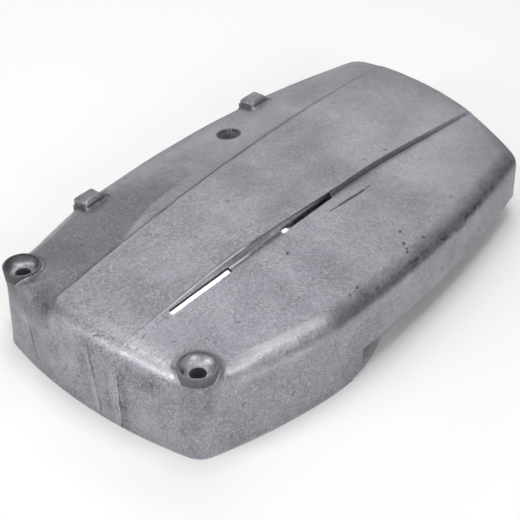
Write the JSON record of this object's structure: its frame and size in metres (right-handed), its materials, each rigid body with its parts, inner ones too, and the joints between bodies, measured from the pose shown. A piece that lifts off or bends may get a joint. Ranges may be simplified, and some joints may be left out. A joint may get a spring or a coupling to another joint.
{
  "type": "flywheel cover",
  "caption": "Cast aluminium flywheel cover for a small engine, with a raised crowned band, cooling slots, screw bosses and a round skirt for the flywheel.",
  "frame": {"origin": "midway between the two end screws, on the deep rim's face", "axes": "+X from the screw end to the far end, +Y to the lug side, +Z out of the rim to the crowned top"},
  "size_m": [0.2601, 0.1457, 0.041],
  "materials": {
    "casting": "raw sand casting, oil darkened, dull"
  },
  "bodies": {
    "root": {"flywheel_cover": "casting"}
  },
  "joints": []
}
